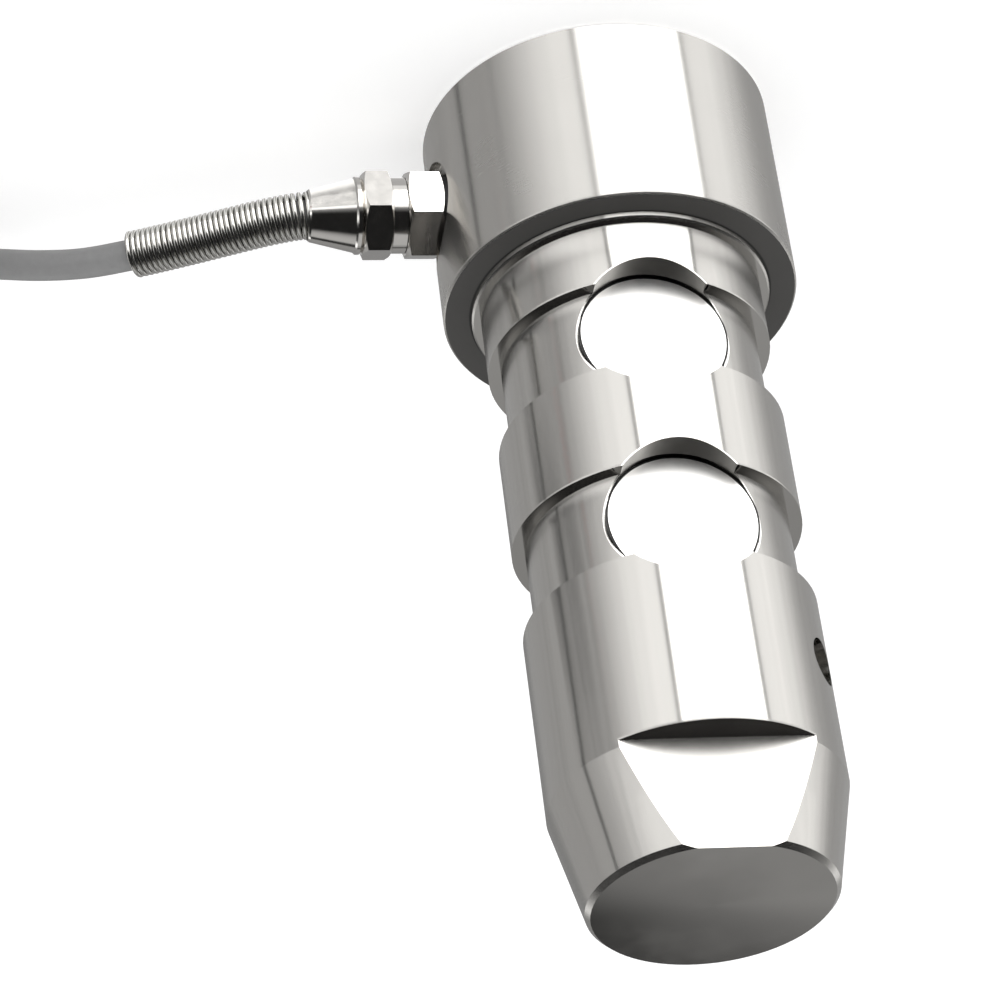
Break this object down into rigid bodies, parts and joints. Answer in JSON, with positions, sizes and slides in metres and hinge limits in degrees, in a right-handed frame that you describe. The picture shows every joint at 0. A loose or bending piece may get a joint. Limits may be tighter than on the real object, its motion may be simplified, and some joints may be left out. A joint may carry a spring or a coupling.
{
  "type": "shear pin load cell",
  "caption": "Turned steel load pin with flanged head, necked shank, round gauge pockets, keeper flat, cone tip, and a cable gland with spring guard and coiled cable.",
  "frame": {"origin": "centre of the head's end face, on which the pin stands", "axes": "+Z along the pin from the head to the tip, -Y out of the seen gauge pockets and the keeper flat, +X along the cable gland"},
  "size_m": [0.3038, 0.1235, 0.192],
  "materials": {
    "turned_steel": "fine turned, semi bright",
    "cover_steel": "polished discs",
    "lid_steel": "turned",
    "screw_steel": "bright",
    "gauge_foil": "satin foil on film",
    "solder": "tinned",
    "lead_jacket": "satin",
    "black_rubber": "matt",
    "board_green": "satin lacquer",
    "post_brass": "bright",
    "block_green": "satin",
    "chip_black": "matt",
    "resistor_brown": "matt",
    "nickel": "nickel plated, bright",
    "claw_plastic": "satin",
    "spring_steel": "drawn wire, bright",
    "core_plastic": "satin",
    "cable_grey": "satin",
    "tie_black": "satin",
    "sleeve_black": "satin",
    "core_ends": "satin",
    "ferrule_tin": "tinned"
  },
  "bodies": {
    "root": {"pin_body": "turned_steel", "cover_front_upper": "cover_steel", "cover_front_lower": "cover_steel", "cover_rear_upper": "cover_steel", "cover_rear_lower": "cover_steel", "gauge_front_upper": "gauge_foil", "gauge_front_lower": "gauge_foil", "gauge_rear_upper": "gauge_foil", "gauge_rear_lower": "gauge_foil", "solder_pads": "solder", "leads_front": "lead_jacket", "leads_rear": "lead_jacket", "lead_bushes": "black_rubber", "terminal_board": "board_green", "board_posts": "post_brass", "board_screws": "screw_steel", "terminal_block": "block_green", "amplifier_chip": "chip_black", "board_resistors": "resistor_brown", "head_cover": "lid_steel", "cover_seal": "black_rubber", "cover_screws": "screw_steel", "gland_seal": "black_rubber", "gland_body": "nickel", "gland_claw": "claw_plastic", "gland_bush": "black_rubber", "gland_ring": "nickel", "gland_nut": "nickel", "spring_guard": "spring_steel", "cable_cores": "core_plastic", "cable": "cable_grey", "cable_coil": "cable_grey", "coil_ties": "tie_black", "jacket_end": "sleeve_black", "end_cores": "core_ends", "end_ferrules": "ferrule_tin"}
  },
  "joints": []
}
